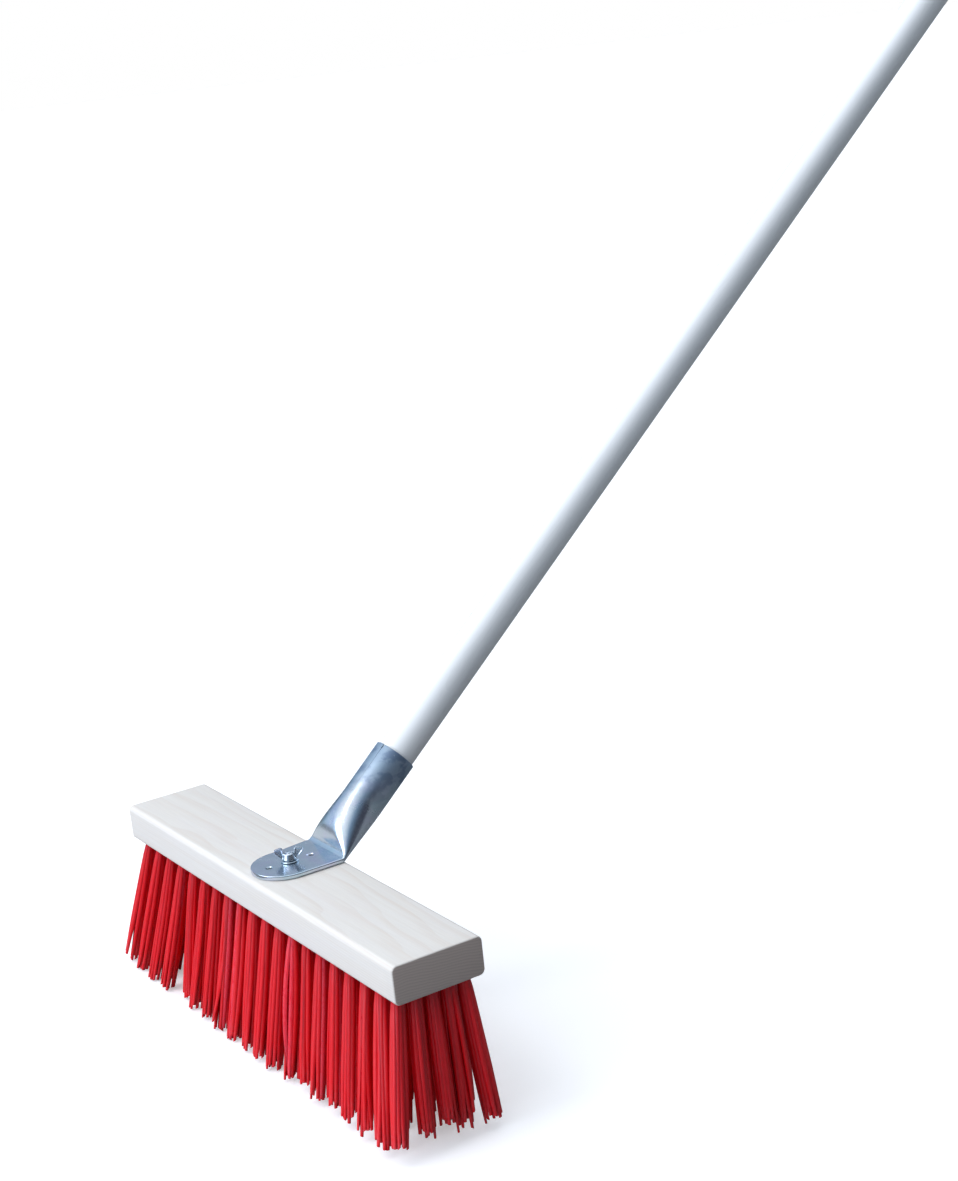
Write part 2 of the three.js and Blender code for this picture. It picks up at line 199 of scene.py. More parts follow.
def cut(target, cutters, operation="DIFFERENCE"):
    """Applies each cutter to the target by a boolean and removes it."""
    for cutter in cutters:
        modifier = target.modifiers.new("cut", "BOOLEAN")
        modifier.operation = operation
        modifier.solver = "EXACT"
        modifier.object = cutter
        apply_modifiers(target)
        bpy.data.objects.remove(cutter)


def apply_modifiers(obj):
    graph = bpy.context.evaluated_depsgraph_get()
    made = bpy.data.meshes.new_from_object(obj.evaluated_get(graph))
    obj.modifiers.clear()
    old = obj.data
    obj.data = made
    made.name = obj.name
    bpy.data.meshes.remove(old)


def finish_piece(obj, body, material, node):
    """Gives a piece its material, its body and the CAD node it replaces."""
    obj.data.materials.clear()
    obj.data.materials.append(material)
    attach(obj, body)
    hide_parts(node)


# ------------------------------------------------------------------ node helpers

class Nodes:
    """A small builder for one node tree. A value is a number, a vector, a colour or a socket."""

    def __init__(self, tree):
        self.tree = tree

    def add(self, kind, **settings):
        node = self.tree.nodes.new(kind)
        for key, value in settings.items():
            setattr(node, key, value)
        return node

    def feed(self, socket, value):
        if isinstance(value, bpy.types.NodeSocket):
            self.tree.links.new(value, socket)
        else:
            socket.default_value = value

    def math(self, operation, a, b=0.0):
        node = self.add("ShaderNodeMath", operation=operation)
        self.feed(node.inputs[0], a)
        self.feed(node.inputs[1], b)
        return node.outputs[0]

    def plus(self, a, b):
        return self.math("ADD", a, b)

    def times(self, a, b):
        return self.math("MULTIPLY", a, b)

    def dot(self, a, b):
        node = self.add("ShaderNodeVectorMath", operation="DOT_PRODUCT")
        self.feed(node.inputs[0], a)
        self.feed(node.inputs[1], b)
        return node.outputs["Value"]

    def split(self, vector):
        node = self.add("ShaderNodeSeparateXYZ")
        self.feed(node.inputs[0], vector)
        return node.outputs

    def ramp(self, value, low, high, out_low=0.0, out_high=1.0):
        """Eases from out_low to out_high as the value goes from low to high."""
        node = self.add("ShaderNodeMapRange", interpolation_type="SMOOTHSTEP")
        self.feed(node.inputs["Value"], value)
        self.feed(node.inputs["From Min"], low)
        self.feed(node.inputs["From Max"], high)
        self.feed(node.inputs["To Min"], out_low)
        self.feed(node.inputs["To Max"], out_high)
        return node.outputs["Result"]

    def mix(self, factor, a, b):
        """Mixes two colours. The node also has sockets for numbers and vectors, hence the places."""
        node = self.add("ShaderNodeMix", data_type="RGBA")
        self.feed(node.inputs[0], factor)
        self.feed(node.inputs[6], a)
        self.feed(node.inputs[7], b)
        return node.outputs[2]

    def camera_sees(self, seen, unseen, output):
        """Gives the camera's own rays one shader and all others another."""
        node = self.add("ShaderNodeMixShader")
        self.feed(node.inputs[0], self.add("ShaderNodeLightPath").outputs["Is Camera Ray"])
        self.feed(node.inputs[1], unseen)
        self.feed(node.inputs[2], seen)
        self.feed(self.tree.nodes[output].inputs["Surface"], node.outputs[0])


class Surface(Nodes):
    """A builder for one material, with its textures laid out in the object's coordinates."""

    def __init__(self, name):
        self.material = bpy.data.materials.new(name)
        self.material.use_nodes = True
        super().__init__(self.material.node_tree)
        self.shader = self.tree.nodes["Principled BSDF"]
        self.place = self.add("ShaderNodeTexCoord").outputs["Object"]

    def set(self, name, value):
        self.feed(self.shader.inputs[name], value)

    def scaled(self, scale, place, offset=(0, 0, 0)):
        node = self.add("ShaderNodeMapping")
        self.feed(node.inputs["Vector"], place or self.place)
        self.feed(node.inputs["Scale"], scale)
        self.feed(node.inputs["Location"], offset)
        return node.outputs["Vector"]

    def noise(self, scale, detail=3.0, roughness=0.5, place=None, offset=(0, 0, 0)):
        """Noise from 0 to 1, with scale waves a metre along each axis."""
        node = self.add("ShaderNodeTexNoise")
        self.feed(node.inputs["Vector"], self.scaled(scale, place, offset))
        self.feed(node.inputs["Scale"], 1.0)
        self.feed(node.inputs["Detail"], detail)
        self.feed(node.inputs["Roughness"], roughness)
        return node.outputs["Fac"]

    def cells(self, scale, place=None):
        """The distance to the nearest of scattered points, with scale points a metre."""
        node = self.add("ShaderNodeTexVoronoi")
        self.feed(node.inputs["Vector"], self.scaled(scale, place))
        self.feed(node.inputs["Scale"], 1.0)
        return node.outputs["Distance"]

    def bump(self, height, distance, strength, normal=None):
        node = self.add("ShaderNodeBump")
        self.feed(node.inputs["Height"], height)
        self.feed(node.inputs["Distance"], distance)
        self.feed(node.inputs["Strength"], strength)
        if normal is not None:
            self.feed(node.inputs["Normal"], normal)
        return node.outputs["Normal"]

    def attribute(self, name):
        return self.add("ShaderNodeAttribute", attribute_name=name).outputs["Fac"]

    def facing_along_x(self):
        """How nearly the surface faces along X in the object's frame, from 0 to 1."""
        turned = self.add("ShaderNodeVectorTransform", vector_type="NORMAL",
                          convert_from="WORLD", convert_to="OBJECT")
        self.feed(turned.inputs[0], self.add("ShaderNodeNewGeometry").outputs["Normal"])
        return self.math("ABSOLUTE", self.split(turned.outputs[0])[0])


def rgb(r, g, b):
    return (r, g, b, 1.0)


# ------------------------------------------------------------------ materials

WOOD_HEART = (-35 * MM, -160 * MM)  # (y, z) of the middle of the growth rings
RINGS_A_METRE = 520


def wood_material():
    """Pale planed beech: long faint growth lines, short flecks, and darker end grain."""
    n = Surface("pale_beech")
    _, y, z = n.split(n.place)
    side, depth = n.plus(y, -WOOD_HEART[0]), n.plus(z, -WOOD_HEART[1])
    from_heart = n.math("SQRT", n.plus(n.math("POWER", depth, 2), n.math("POWER", side, 2)))
    drift = n.noise((6, 30, 30), detail=2)
    sway = n.noise((2.2, 8, 8), detail=1)
    wander = n.plus(n.times(drift, 6 * MM), n.times(sway, 16 * MM))
    phase = n.math("FRACT", n.times(n.plus(from_heart, wander), RINGS_A_METRE))
    late_wood = n.times(n.ramp(phase, 0.35, 0.95), n.ramp(phase, 1.0, 0.96))
    fibre = n.noise((35, 1400, 1400), detail=4, roughness=0.65)
    streak = n.noise((9, 260, 260))
    patch = n.noise((14, 45, 45), detail=2)
    fleck = n.times(n.ramp(n.cells((330, 1100, 1100)), 0.22, 0.08), n.ramp(patch, 0.4, 0.6, 0.3, 1.0))
    pores = n.cells((900, 2600, 2600))

    early_colour, late_colour = rgb(0.745, 0.69, 0.62), rgb(0.69, 0.595, 0.51)
    streak_colour, fibre_colour = rgb(0.77, 0.73, 0.675), rgb(0.62, 0.59, 0.57)
    fleck_colour, patch_colour = rgb(0.52, 0.50, 0.53), rgb(0.74, 0.67, 0.66)
    face = n.mix(n.times(late_wood, 0.6), early_colour, late_colour)
    face = n.mix(n.ramp(streak, 0.35, 0.7, 0.0, 0.5), face, streak_colour)
    face = n.mix(n.ramp(fibre, 0.3, 0.75, 0.0, 0.28), face, fibre_colour)
    face = n.mix(n.times(fleck, 0.22), face, fleck_colour)
    face = n.mix(n.ramp(patch, 0.45, 0.75, 0.0, 0.18), face, patch_colour)

    end_early, end_late = rgb(0.55, 0.445, 0.385), rgb(0.435, 0.345, 0.295)
    pore_colour = rgb(0.3, 0.29, 0.285)
    end = n.mix(n.times(late_wood, 0.6), end_early, end_late)
    end = n.mix(n.ramp(pores, 0.35, 0.1, 0.0, 0.3), end, pore_colour)
    end_on = n.ramp(n.facing_along_x(), 0.8, 0.95)
    n.set("Base Color", n.mix(end_on, face, end))

    n.set("Roughness", n.plus(n.ramp(fibre, 0.2, 0.8, 0.5, 0.68), n.times(end_on, 0.12)))
    n.set("Specular IOR Level", 0.35)
    relief = n.plus(n.times(fibre, 0.6), n.times(late_wood, 0.25))
    relief = n.math("SUBTRACT", relief, n.times(fleck, 0.3))
    n.set("Normal", n.bump(relief, 0.12 * MM, 0.7))
    return n.material


def bristle_material():
    """Glossy red plastic strands, each a little different, with scuffed pale cut tips. A few whole
    strands are pale pink, a painted sheen.
    """
    n = Surface("red_bristle")
    tone = n.attribute("strand_tone")
    along = n.attribute("strand_along")
    streak = n.noise((1500, 1500, 40), detail=2)
    dust = n.times(n.ramp(along, 0.8, 1.0), n.ramp(n.noise((500, 500, 500)), 0.35, 0.65))

    deep_red, bright_red = rgb(0.72, 0.003, 0.009), rgb(0.84, 0.005, 0.014)
    streak_red, pale_sheen_red = rgb(0.85, 0.02, 0.035), rgb(0.85, 0.045, 0.075)
    dusty_red = rgb(0.72, 0.12, 0.14)
    colour = n.mix(tone, deep_red, bright_red)
    colour = n.mix(n.ramp(streak, 0.4, 0.8, 0.0, 0.3), colour, streak_red)
    # Strands at the top of the tone turn pale pink: a painted sheen standing in for highlight lines.
    colour = n.mix(n.ramp(tone, 0.85, 1.0, 0.0, 0.75), colour, pale_sheen_red)
    n.set("Base Color", n.mix(n.times(dust, 0.25), colour, dusty_red))

    rough = n.ramp(n.noise((700, 700, 90)), 0.3, 0.7, 0.36, 0.5)
    n.set("Roughness", n.math("SUBTRACT", rough, n.times(tone, 0.12)))
    n.set("Specular IOR Level", 0.5)
    n.set("Subsurface Weight", 0.5)
    n.set("Subsurface Radius", (1.0, 0.06, 0.06))
    n.set("Subsurface Scale", 3 * MM)
    n.set("Normal", n.bump(streak, 0.04 * MM, 0.4))
    return n.material


DULL_LENGTH = 46 * MM  # how far below the rim the plating begins to dull


def zinc_material(name, depth):
    """Bright blue-tinted zinc plating: cloudy patches, drawing lines, fine scratches and sparse scuffs,
    whose pale colour is a painted glint.

    It is darker and rougher near the tube's rim, with darker blotches there. depth is how strong its
    blue is."""
    n = Surface(name)
    cloud = n.noise((55, 45, 60), detail=4, roughness=0.6)
    fine = n.noise((420, 420, 420))
    drawn = n.noise((900, 25, 25))
    wave = n.noise((90, 70, 90), detail=2)
    tint = n.noise((70, 60, 70), detail=2, offset=(4.0, 1.0, 7.0))
    up_tube = n.plus(n.dot(n.place, tuple(AXIS)), -BEND_POINT.dot(AXIS))
    dull = n.ramp(n.plus(up_tube, n.times(cloud, 16 * MM)), TUBE_LENGTH - DULL_LENGTH, TUBE_LENGTH)
    blotch = n.noise((75, 75, 110), detail=4, roughness=0.65)
    # Darker blotches within the darker, rougher band near the rim.
    rim_blotch = n.times(dull, n.ramp(blotch, 0.46, 0.62))
    pick = n.ramp(n.noise((60, 60, 60)), 0.56, 0.66)
    # Sparse scuffs: rougher, with a pale colour that is a painted glint.
    scuff_glint = n.times(n.ramp(n.cells((300, 300, 130)), 0.17, 0.07), pick)

    dark_cloud, light_cloud = rgb(0.56, 0.64, 0.72), rgb(0.65, 0.71, 0.78)
    violet, green = rgb(0.62, 0.61, 0.77), rgb(0.50, 0.67, 0.73)
    pale, blue = rgb(0.76, 0.80, 0.84), rgb(0.27, 0.44, 0.56)
    dull_colour, rim_blotch_colour = rgb(0.31, 0.40, 0.50), rgb(0.17, 0.23, 0.35)
    scuff_glint_colour = rgb(0.86, 0.9, 0.92)
    colour = n.mix(n.ramp(cloud, 0.35, 0.68), dark_cloud, light_cloud)
    colour = n.mix(n.ramp(tint, 0.5, 0.68, 0.0, 0.6), colour, violet)
    colour = n.mix(n.ramp(tint, 0.48, 0.32, 0.0, 0.5), colour, green)
    colour = n.mix(n.ramp(fine, 0.45, 0.8, 0.0, 0.2), colour, pale)
    colour = n.mix(depth, colour, blue)
    colour = n.mix(n.times(dull, 0.9), colour, dull_colour)
    colour = n.mix(n.times(rim_blotch, 0.65), colour, rim_blotch_colour)
    n.set("Base Color", n.mix(n.times(scuff_glint, 0.6), colour, scuff_glint_colour))

    n.set("Metallic", 1.0)
    rough = n.plus(n.ramp(cloud, 0.3, 0.7, 0.17, 0.25), n.ramp(fine, 0.3, 0.8, 0.0, 0.05))
    n.set("Roughness", n.plus(rough, n.plus(n.times(dull, 0.38), n.times(scuff_glint, 0.3))))
    bumped = n.bump(wave, 0.10 * MM, 0.5)
    bumped = n.bump(drawn, 0.008 * MM, 0.5, bumped)
    n.set("Normal", n.bump(fine, 0.006 * MM, 0.5, bumped))
    return n.material


def lacquer_material():
    """White gloss lacquer over turned wood: faint grain under it, a few specks and scuffs."""
    n = Surface("white_lacquer")
    turned = n.add("ShaderNodeVectorRotate", rotation_type="AXIS_ANGLE")
    n.feed(turned.inputs["Vector"], n.place)
    n.feed(turned.inputs["Axis"], (1, 0, 0))
    n.feed(turned.inputs["Angle"], QUARTER_TURN - TUBE_ANGLE)
    place = turned.outputs["Vector"]  # its Z runs along the handle
    grain = n.noise((420, 420, 9), detail=4, roughness=0.6, place=place)
    wave = n.noise((40, 40, 6), detail=2, place=place)
    pick = n.noise((45, 45, 30), detail=2, place=place)
    speck = n.times(n.ramp(n.cells((160, 160, 90), place), 0.13, 0.06), n.ramp(pick, 0.62, 0.68))

    white, bright_white = rgb(0.905, 0.90, 0.88), rgb(0.945, 0.94, 0.92)
    grain_colour, speck_colour = rgb(0.79, 0.785, 0.77), rgb(0.36, 0.34, 0.32)
    colour = n.mix(n.ramp(wave, 0.3, 0.7), white, bright_white)
    colour = n.mix(n.ramp(grain, 0.45, 0.8, 0.0, 0.25), colour, grain_colour)
    n.set("Base Color", n.mix(n.times(speck, 0.45), colour, speck_colour))

    n.set("Roughness", n.ramp(wave, 0.3, 0.7, 0.24, 0.36))
    n.set("Coat Weight", 0.35)
    n.set("Coat Roughness", 0.12)
    n.set("Normal", n.bump(n.plus(grain, n.times(wave, 2.0)), 0.08 * MM, 0.5))
    return n.material


# ------------------------------------------------------------------ head

def tuft_rows(column):
    """Row numbers of one column: the bolt's head takes the place of one middle tuft."""
    middle = (TUFT_ROWS - 1) // 2
    return [row for row in range(TUFT_ROWS) if not (column == BOLT_COLUMN and row == middle)]


def tuft_root(column, row):
    x = (column - (TUFT_COLUMNS - 1) / 2) * TUFT_PITCH_X
    y = (row - (TUFT_ROWS - 1) / 2) * TUFT_PITCH_Y
    return x, y


def head_ring(x, inset):
    """The head's rounded section at x, drawn in by inset."""
    corner_steps = 8
    half_width = (head_high.y - head_low.y) / 2
    half_height = (head_high.z - head_low.z) / 2
    mid_z = (head_high.z + head_low.z) / 2
    radius = HEAD_EDGE_RADIUS - inset * 0.5
    ring = []
    for quarter, (side_y, side_z) in enumerate(((1, 1), (-1, 1), (-1, -1), (1, -1))):
        centre_y = side_y * (half_width - inset - radius)
        centre_z = mid_z + side_z * (half_height - inset - radius)
        for k in range(corner_steps + 1):
            a = QUARTER_TURN * (quarter + k / corner_steps)
            ring.append(Vector((x, centre_y + radius * math.cos(a), centre_z + radius * math.sin(a))))
    return ring


def head_block():
    """The block with its bevelled ends, its tuft holes, and the bolt's hole and square pocket."""
    bevel_steps = 4
    turns = [QUARTER_TURN * k / bevel_steps for k in range(bevel_steps + 1)]
    bevel = [(HEAD_END_BEVEL * (1 - math.cos(t)), HEAD_END_BEVEL * (1 - math.sin(t))) for t in turns]
    stations = 24
    straight = head_high.x - head_low.x - 2 * HEAD_END_BEVEL
    rings = [head_ring(head_low.x + depth, inset) for depth, inset in bevel]
    for k in range(1, stations):
        rings.append(head_ring(head_low.x + HEAD_END_BEVEL + straight * k / stations, 0))
    rings += [head_ring(head_high.x - depth, inset) for depth, inset in reversed(bevel)]
    block = mesh_object("head_block_wood", *loft(rings))

    below = head_low.z - CUT_MARGIN
    tuft_hole = [(TUFT_HOLE_RADIUS, below), (TUFT_HOLE_RADIUS, head_low.z + TUFT_HOLE_DEPTH)]
    bolt_hole = [(BOLT_HOLE_RADIUS, below), (BOLT_HOLE_RADIUS, head_high.z + CUT_MARGIN)]
    pocket_half = BOLT_NECK_HALF + NECK_POCKET_GAP
    pocket_top = head_low.z + BOLT_NECK_HEIGHT + NECK_POCKET_GAP
    cut(block, [
        mesh_object("tuft_holes", *merged([
            lathe(tuft_hole, 16, tuft_root(column, row))
            for column in range(TUFT_COLUMNS) for row in tuft_rows(column)])),
        mesh_object("bolt_hole", *lathe(bolt_hole, 32, (HOLDER_X, 0))),
        square_rod("neck_pocket", [(pocket_half, below), (pocket_half, pocket_top)]),
    ])
    shade(block, 30)
    return block


# ------------------------------------------------------------------ bristles

SPLAY_X = 1.09  # how much wider the tips stand than the roots, along the head
SPLAY_Y = 1.45  # and across it
TIP_LEAN = (-4 * MM, -7 * MM)
END_SPREAD = 12.5 * MM  # how much further the tips at the left end stand out
END_SPREAD_SHARE = 0.3  # of the head's length, over which that fades
TRIM = 1 * MM  # the tips' height above the floor at the left end
TRIM_RISE = 13 * MM  # how much shorter the bristles are at the right end
SHORTEST_TRIM = 0.9 * MM

STRAND_RADIUS = 1.8 * MM
STRAND_WIDTH = 1.15  # the half width of its flat section, as a share of its radius
STRAND_DEPTH = 0.8  # and the half thickness
STRAND_SIDES = 8
STRAND_RINGS = 10
STRAND_INSIDE = 8 * MM  # how far a strand reaches into its hole
STRAND_TAPER = 0.42  # how much thinner a strand is at its tip
STRAND_TAPER_START = 0.7  # of its length
STRAND_SLANT = 0.8 * MM
STRAND_BEDS = ((0, 1), (1.5 * MM, 4), (2.7 * MM, 11))  # (distance from the middle, strands there)
NEAT = 0.5 * MM  # how far a strand strays from its place
UNRULY = 1.7 * MM
NEAT_SHARE = 0.88
# the share of strands painted with the pale pink sheen
PALE_SHEEN_SHARE = 0.06

# Where the tufts have fallen apart: along a diagonal between tufts whose column and row numbers
# add up to no more than the first number and the others. The second is the parting's place
# across that diagonal, and the third keeps the middles of the tufts off it.
PARTING_ACROSS = Vector((0.522, 0.853))
PARTINGS = ((3, -104.6 * MM, 9.8 * MM), (19, 77.5 * MM, 8.6 * MM), (22, 119 * MM, 8.6 * MM))
PARTING_REACH = 9 * MM


def parting_move(tip, diagonal):
    """How far a tuft's tip is bent aside to stay clear of the partings."""
    moved = tip.copy()
    for last, place, half_gap in PARTINGS:
        across = moved.dot(PARTING_ACROSS)
        if diagonal <= last:
            move = min(0.0, place - half_gap - across)
        else:
            move = max(0.0, place + half_gap - across)
        moved += PARTING_ACROSS * max(-PARTING_REACH, min(PARTING_REACH, move))
    return moved - tip


def strand_path(root, tip, offset, fan, bend, bow, tip_z):
    """Points down one strand: straight in its hole, then fanning out to its tip.

    The bend grows towards the tip, and the bow is greatest half way."""
    path = [(root + offset).to_3d() + Vector((0, 0, head_low.z + STRAND_INSIDE))]
    for k in range(STRAND_RINGS):
        t = k / (STRAND_RINGS - 1)
        lean = 0.1 * t * t + 0.9 * t
        flat = root + (tip - root) * lean + offset * (1 + (fan - 1) * t ** 0.45)
        flat += bend * t ** 2 + bow * math.sin(math.pi * t)
        path.append(Vector((flat.x, flat.y, head_low.z + (tip_z - head_low.z) * t)))
    return path


def strand_skin(path, radius, turn, slant):
    """One strand's points, faces and places along it, from 0 at its root to 1 at its tip.

    Its section is flat, with its width turned across the direction turn, and its tip is cut
    on a slant."""
    outward = Vector((math.cos(turn), math.sin(turn), 0))
    sideways = Vector((-math.sin(turn), math.cos(turn), 0))
    rings, along = [], []
    for k, centre in enumerate(path):
        t = max(k - 1, 0) / (len(path) - 2)
        taper = max(0.0, (t - STRAND_TAPER_START) / (1 - STRAND_TAPER_START))
        size = radius * (1 - STRAND_TAPER * taper)
        drop = slant if k == len(path) - 1 else 0
        ring = []
        for s in range(STRAND_SIDES):
            a = FULL_TURN * s / STRAND_SIDES
            point = centre + sideways * (STRAND_WIDTH * size * math.cos(a))
            point += outward * (STRAND_DEPTH * size * math.sin(a))
            ring.append((point.x, point.y, point.z + drop * math.cos(a)))
        rings.append(ring)
        along += [t] * STRAND_SIDES
    points, faces = loft(rings)
    return points, faces, along


def scatter(size):
    return Vector((rng.normal(0, size), rng.normal(0, size)))


def tuft(column, row):
    """The strands of one tuft, each with its points, faces, places along it and tone."""
    share = column / (TUFT_COLUMNS - 1)
    root = Vector(tuft_root(column, row))
    end_spread = END_SPREAD * max(0.0, 1 - share / END_SPREAD_SHARE)
    tip = Vector((root.x * SPLAY_X + TIP_LEAN[0] - end_spread, root.y * SPLAY_Y + TIP_LEAN[1]))
    tip += scatter(1 * MM)
    aside = parting_move(tip, column + row)
    trim = TRIM + share ** 5 * TRIM_RISE + rng.normal(0, 1.8 * MM)
    fan = rng.uniform(1.75, 2.1)
    tuft_tone = 0.45 + rng.uniform(-0.1, 0.1)
    twist = rng.uniform(0, FULL_TURN)
    strands = []
    for distance, count in STRAND_BEDS:
        for k in range(count):
            turn = twist + FULL_TURN * k / count
            offset = Vector((distance * math.cos(turn), distance * math.sin(turn)))
            loose = NEAT if rng.random() < NEAT_SHARE else UNRULY
            bend = aside + scatter(loose)
            bow = scatter(loose * 0.7)
            tip_z = max(trim + rng.normal(0, 2.6 * MM), SHORTEST_TRIM)
            path = strand_path(root, tip, offset, fan, bend, bow, tip_z)
            radius = STRAND_RADIUS * rng.uniform(0.92, 1.05)
            turn += rng.normal(0, 0.25)
            slant = min(max(rng.normal(0, 0.5 * MM), -STRAND_SLANT), STRAND_SLANT)
            tone = min(max(tuft_tone + rng.normal(0, 0.13), 0), 1)
            # A few strands get the top tone, which paints them with the pale pink sheen.
            if rng.random() < PALE_SHEEN_SHARE:
                tone = 1.0
            strands.append((*strand_skin(path, radius, turn, slant), tone))
    return strands


def tuft_column(column, material):
    """One column of tufts as a single piece, with each point's tone and place along its strand."""
    strands = [strand for row in tuft_rows(column) for strand in tuft(column, row)]
    node = f"tuft_column_{column + 1:02d}"
    skins = [(points, faces) for points, faces, _, _ in strands]
    obj = mesh_object(node + "_bristles", *merged(skins), 50)
    tones = [tone for points, _, _, tone in strands for _ in points]
    places = [place for _, _, along, _ in strands for place in along]
    for label, values in (("strand_tone", tones), ("strand_along", places)):
        attribute = obj.data.attributes.new(label, "FLOAT", "POINT")
        attribute.data.foreach_set("value", np.array(values, np.float32))
    finish_piece(obj, "head", material, node)


# ------------------------------------------------------------------ handle holder

SECTION_POINTS = 72
TONGUE_TIP_START = math.radians(8)  # the half-round tip starts this far round, with a short blunt end
TONGUE_SQUARENESS = 0.7  # of its edges: 0 is half round and 1 is squarer, as at its tip
RIM_ROUND = 0.35 * MM
HOLE_LIP = 0.7 * MM


def station(y, z=FLAT_MID_Z, angle=0, roundness=0, crown=0, half=FLAT_HALF_WIDTH, square=0):
    """One place along the holder: its middle, its direction, how round it is below and above,
    the half width of its flat stretch, and how square its edges are."""
    return {"y": y, "z": z, "angle": angle, "round": roundness, "crown": crown, "half": half,
            "square": square}


def tube_station(s, roundness=1, crown=1):
    """The station at a distance up the tube's axis from the bend."""
    return station(BEND_Y + s * math.cos(TUBE_ANGLE), FLAT_MID_Z + s * math.sin(TUBE_ANGLE),
                   TUBE_ANGLE, roundness, crown)


def holder_stations():
    """Stations down the tongue, round the bend and up the flare and the tube."""
    half = FLAT_HALF_WIDTH
    flat_end = BEND_Y - BEND_RADIUS * math.tan(TUBE_ANGLE / 2)
    round_end = holder_low.y + half * math.cos(TONGUE_TIP_START)
    stations = []
    tip_steps = 14
    for k in range(tip_steps + 1):
        turn = TONGUE_TIP_START + (QUARTER_TURN - TONGUE_TIP_START) * k / tip_steps
        stations.append(station(round_end - half * math.cos(turn), half=half * math.sin(turn),
                                square=1 - (1 - TONGUE_SQUARENESS) * k / tip_steps))
    straight_steps = 8
    for k in range(1, straight_steps + 1):
        stations.append(station(round_end + (flat_end - round_end) * k / straight_steps,
                                square=TONGUE_SQUARENESS))
    bend_steps = 8
    for k in range(1, bend_steps + 1):
        angle = TUBE_ANGLE * k / bend_steps
        stations.append(station(flat_end + BEND_RADIUS * math.sin(angle),
                                FLAT_MID_Z + BEND_RADIUS * (1 - math.cos(angle)), angle,
                                square=TONGUE_SQUARENESS * (1 - k / bend_steps)))
    flare_steps = 20
    for k in range(1, flare_steps + 1):
        t = k / flare_steps
        eased = (t + t * t * (3 - 2 * t)) / 2
        crown = 1 - (1 - 1.09 * t * t / (t + 0.09)) ** 4
        stations.append(tube_station(FLARE_START + (FLARE_END - FLARE_START) * t, eased, crown))
    tube_steps = 10
    for k in range(1, tube_steps + 1):
        stations.append(tube_station(FLARE_END + (TUBE_LENGTH - FLARE_END) * k / tube_steps))
    return stations


def holder_ring(at, radius, half_width_cut, half_thickness):
    """A section: two half circles and the straights between them, which vanish as it rounds out.

    Above, the flattened tube arches up sooner than it bellies out below."""
    half_width = at["half"] - half_width_cut
    bow = half_thickness + (radius - half_thickness) * at["round"]
    arch = half_thickness + (radius - half_thickness) * at["crown"]
    straight = max(half_width - half_thickness, 0) * (1 - at["round"])
    power = 1 - 0.6 * at["square"]
    from_bend = math.hypot(at["y"] - BEND_Y, at["z"] - FLAT_MID_Z)
    bulge = 1 + BEND_BULGE * max(0, 1 - from_bend / BEND_BULGE_REACH)
    ring = []
    for i in range(SECTION_POINTS):
        turn = (i + 0.5) / SECTION_POINTS * FULL_TURN
        sin, cos = math.sin(turn), math.cos(turn)
        side = 1 if sin > 0 else -1
        x = side * straight + bow * side * abs(sin) ** power
        up = -bow * abs(cos) ** power
        if cos > 0:
            x += ((straight + bow) * sin - x) * at["crown"]
            up = arch * cos ** power
        x *= bulge if x < 0 else 1
        ring.append(Vector((HOLDER_X + x, at["y"] - up * math.sin(at["angle"]),
                            at["z"] + up * math.cos(at["angle"]))))
    return ring


def to_tube(x, up, s):
    """A point given in the tube's own frame: across, towards its upper side, and along it."""
    return BEND_POINT + Vector((x, 0, 0)) + UPPER * up + AXIS * s


def seam_cutter():
    """The open seam: a slit that is hair-thin at the flare and widens to a V at the rim."""
    rim = TUBE_LENGTH
    profile = ((FLARE_END, 0.06 * MM), (rim - 26 * MM, 0.14 * MM), (rim - 6 * MM, 0.22 * MM),
               (rim - 4 * MM, 0.5 * MM), (rim - 1.2 * MM, 1.7 * MM), (rim + CUT_MARGIN, 2.6 * MM))
    inner, outer = TUBE_RADIUS * 0.5, TUBE_RADIUS * 1.3
    rings = []
    for s, width in profile:
        ring = []
        half = width / 2
        for across, up in ((-half, inner), (half, inner), (half, outer), (-half, outer)):
            ring.append(to_tube(across * math.cos(SEAM_ANGLE) + up * math.sin(SEAM_ANGLE),
                                up * math.cos(SEAM_ANGLE) - across * math.sin(SEAM_ANGLE), s))
        rings.append(ring)
    return mesh_object("seam_cutter", *loft(rings))


def hollow_cutter(stations):
    """The inside of the tube and the flare, which closes to a slit at the bend."""
    inner_radius = TUBE_RADIUS - TUBE_WALL
    hollow = [at for at in stations if at["round"] > 0.02]
    rings = [holder_ring(at, inner_radius, TUBE_WALL, 0.12 * MM) for at in hollow]
    rings.append(holder_ring(tube_station(TUBE_LENGTH + CUT_MARGIN), inner_radius, 0, 0.1 * MM))
    return mesh_object("inner", *loft(rings))


def hole_cutter(y, radius):
    """A countersunk hole through the tongue."""
    low, high = holder_low.z - CUT_MARGIN, FLAT_TOP_Z + CUT_MARGIN
    profile = [(radius, low), (radius, FLAT_TOP_Z - HOLE_LIP),
               (radius + HOLE_LIP, FLAT_TOP_Z + 0.02 * MM), (radius + HOLE_LIP, high)]
    return mesh_object("hole", *lathe(profile, 32, (HOLDER_X, y)))


